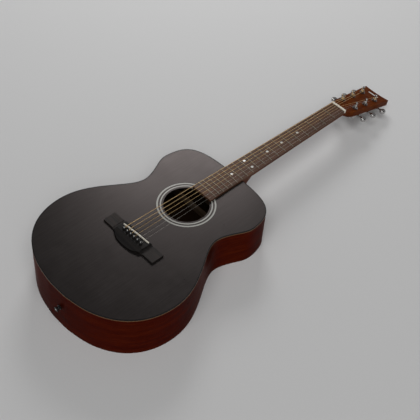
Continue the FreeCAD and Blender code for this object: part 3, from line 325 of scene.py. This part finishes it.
def stand_in(piece, node, body="guitar"):
    piece.name = f"{node}_detailed"
    piece.data.materials.clear()
    piece.data.materials.append(slots[slot_of[node]])
    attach(piece, body)
    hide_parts(node)
    return piece


def softened(node, width):
    """A copy of a CAD node with its sharp edges broken, as sanding, filing and polishing leave them."""
    source = frame["nodes"][node]
    piece = source.copy()
    piece.data = source.data.copy()
    piece.parent = None
    piece.matrix_world = source.matrix_world.copy()
    scene.collection.objects.link(piece)
    bevel = piece.modifiers.new("edges", "BEVEL")
    bevel.width = width
    bevel.segments = 3
    bevel.limit_method = "ANGLE"
    bevel.angle_limit = math.radians(40)
    bevel.harden_normals = False
    return stand_in(piece, node)


for node, width in (("top_binding", 0.0007), ("bridge", 0.0008), ("nut", 0.0004), ("back", 0.0012)):
    softened(node, width)


# The headstock's own frame: its face is tipped back by 13 degrees from the end of the nut.
NUT_DEEP, HEAD_BACK = 0.005, math.radians(-13)
head_frame = (Matrix.Rotation(-TILT, 4, "X") @ Matrix.Translation(LIFT + Vector((0, NUT_DEEP, 0)))
              @ Matrix.Rotation(HEAD_BACK, 4, "X"))
# string by string: which side its post is on, which post from the nut it is, its radius, its turns
STRING_SIDES = (1, 1, 1, -1, -1, -1)
POST_ORDER = (0, 1, 2, 2, 1, 0)
STRING_RADII = (0.00015, 0.0002, 0.00032, 0.00041, 0.00053, 0.00067)
TURNS = (6, 5, 4, 4, 3, 3)
# a post's place, from the centre line and from the nut, and the step from one post to the next
POST_ASIDE, FIRST_POST, POST_STEP = 0.020, 0.0405, 0.041
POST_RADIUS, POST_WAIST = 0.003, 0.0025
# over the headstock's face: the first turn, and the hole through the post
STRING_LEVEL, HOLE_LEVEL = 0.008, 0.0126
# the string's cut tail and the way through the hole: along the hole, aside, and over the hole
TAIL = ((0.0078, 0.0011, 0.0012), (0.0055, 0.0003, 0.0003), (0.0035, 0, 0), (-0.0024, 0, 0))
STEPS_PER_TURN = 28
SKIN_GAP = 0.00003


def wire(name, points, radius):
    """A round wire along a chain of points, as a smooth mesh."""
    curve = bpy.data.curves.new(name, "CURVE")
    curve.dimensions = "3D"
    curve.bevel_depth = radius
    curve.bevel_resolution = 3
    curve.use_fill_caps = True
    line = curve.splines.new("POLY")
    line.points.add(len(points) - 1)
    for point, place in zip(line.points, points):
        point.co = (*place, 1)
    holder = bpy.data.objects.new(name, curve)
    scene.collection.objects.link(holder)
    bpy.context.view_layer.update()
    mesh = bpy.data.meshes.new_from_object(holder.evaluated_get(bpy.context.evaluated_depsgraph_get()))
    bpy.data.objects.remove(holder)
    piece = bpy.data.objects.new(name, mesh)
    scene.collection.objects.link(piece)
    mesh.polygons.foreach_set("use_smooth", [True] * len(mesh.polygons))
    return piece


def winding_points(index):
    """One string's end: a cut tail, the way through the post's hole, and turns laid side by side."""
    radius, side = STRING_RADII[index], STRING_SIDES[index]
    reach = POST_RADIUS + radius + SKIN_GAP
    points = [Vector((side * along, aside, HOLE_LEVEL + over)) for along, aside, over in TAIL]
    start = math.pi if side > 0 else 0.0
    for step in range(1, STEPS_PER_TURN * (TURNS[index] + 1) + 1):
        turned = step / STEPS_PER_TURN
        angle = start - side * 2 * math.pi * turned
        if turned < 1:
            ease = turned * turned * (3 - 2 * turned)
            level = HOLE_LEVEL + (STRING_LEVEL - HOLE_LEVEL) * ease
            # from the narrow waist at the hole out to the post's full width, well before the turn ends
            distance = POST_WAIST + radius + (reach - POST_WAIST - radius) * min(1, 2.2 * turned)
        else:
            level = STRING_LEVEL - 2 * radius * (turned - 1)
            distance = reach
        points.append(Vector((distance * math.cos(angle), distance * math.sin(angle), level)))
    return points


for index, radius in enumerate(STRING_RADII):
    centre = Vector((STRING_SIDES[index] * POST_ASIDE, FIRST_POST + POST_STEP * POST_ORDER[index], 0))
    coil = wire("coil", winding_points(index), radius)
    coil.matrix_world = head_frame @ Matrix.Translation(centre)
    stand_in(coil, f"string_winding_{index + 1}", f"post_{index + 1}")


# ---------------------------------------------------------------------------------- floor and light


def paper(name, color, rough):
    """Matt paper with a faint speckle, for the floor."""
    n = Nodes(name)
    speckle = n.noise(n.where(), 240.0, 3.0, 0.6)
    base = n.mix(speckle, [SPECKLE_SHADE * c for c in color], color)
    return n.finish(Base_Color=base, Roughness=rough, Normal=n.bump(speckle, 0.02, 0.0005))


FLOOR_SIZE, FLOOR_LEVEL, FLOOR_GREY = 60, -0.0005, (0.70, 0.70, 0.70)
bpy.ops.mesh.primitive_plane_add(size=FLOOR_SIZE, location=(0, 0, FLOOR_LEVEL))
floor = bpy.context.object
floor.name = "floor"
floor.data.materials.append(paper("paper", FLOOR_GREY, 0.8))


def lamp(name, kind, power, place, aim):
    """A lamp of the given kind at a place, shining towards a point. Gives back its data."""
    light = bpy.data.lights.new(name, kind)
    light.energy = power
    holder = bpy.data.objects.new(name, light)
    scene.collection.objects.link(holder)
    holder.location = place
    holder.rotation_euler = (Vector(aim) - Vector(place)).to_track_quat("-Z", "Y").to_euler()
    return light


def panel(name, place, aim, side, power):
    """A square soft box."""
    light = lamp(name, "AREA", power, place, aim)
    light.shape = "RECTANGLE"
    light.size = light.size_y = side


# the sheen on the soundboard comes from the key, low behind the bass side of the headstock
KEY_FAR = 2.8
panel("key", seen_direction(-0.62, -0.62, 0.62).normalized() * KEY_FAR, (0, 0.25, 0.05), 0.9, 19)
panel("fill", (2.4, -1.6, 1.6), (0, 0, 0), 2.0, 6)
# one broad, very soft light over everything, from the front and the treble side
overhead = lamp("overhead", "SUN", 1.35, (1.1, -1.0, 2.9), (0, 0, 0))
overhead.angle = math.radians(52)

# a pale horizon that meets the floor, and a dim ceiling: (height of the direction, grey)
SKY = ((0.0, 0.40), (0.10, 0.37), (0.32, 0.17), (0.55, 0.07))
world = bpy.data.worlds.new("studio")
scene.world = world
world.use_nodes = True
sky = Nodes("studio_sky", world.node_tree)
height = sky.part_of(sky.add("ShaderNodeTexCoord").outputs["Generated"], "Z")
shade = sky.ramp(height, [(place, (grey, grey, grey)) for place, grey in SKY])
sky.put(world.node_tree.nodes["Background"].inputs["Color"], shade)
scene.view_settings.view_transform = "Standard"

# ------------------------------------------------------------------------------------------- camera

# Where the photograph was taken from, in the guitar's axes: aimed at a point of the soundboard's plane.
AZIMUTH, ELEVATION, ROLL = (math.radians(a) for a in (43.033, 47.237, 5.220))
DISTANCE = 1.9459
AIM_TAILWARD, AIM_TREBLE = 0.467256, 0.044551
FOCAL_PIXELS, FRAME_PIXELS, SENSOR_MM = 904.01, 420, 36

toward = Vector((math.cos(AZIMUTH) * math.cos(ELEVATION), math.sin(AZIMUTH) * math.cos(ELEVATION),
                 math.sin(ELEVATION)))
camera_data = bpy.data.cameras.new("camera")
camera = bpy.data.objects.new("camera", camera_data)
scene.collection.objects.link(camera)
back_axis = seen_direction(*toward)
right = seen_direction(*Vector((0, 0, 1)).cross(toward).normalized())
rise = back_axis.cross(right)
turned_right = math.cos(ROLL) * right + math.sin(ROLL) * rise
turned_rise = back_axis.cross(turned_right)
spot = guitar_point(AIM_TREBLE, -AIM_TAILWARD, 0) + back_axis * DISTANCE
camera.matrix_world = Matrix((
    (turned_right.x, turned_rise.x, back_axis.x, spot.x),
    (turned_right.y, turned_rise.y, back_axis.y, spot.y),
    (turned_right.z, turned_rise.z, back_axis.z, spot.z),
    (0, 0, 0, 1),
))
camera_data.sensor_width = SENSOR_MM
camera_data.lens = SENSOR_MM * FOCAL_PIXELS / FRAME_PIXELS
camera_data.clip_start = 0.05
scene.camera = camera
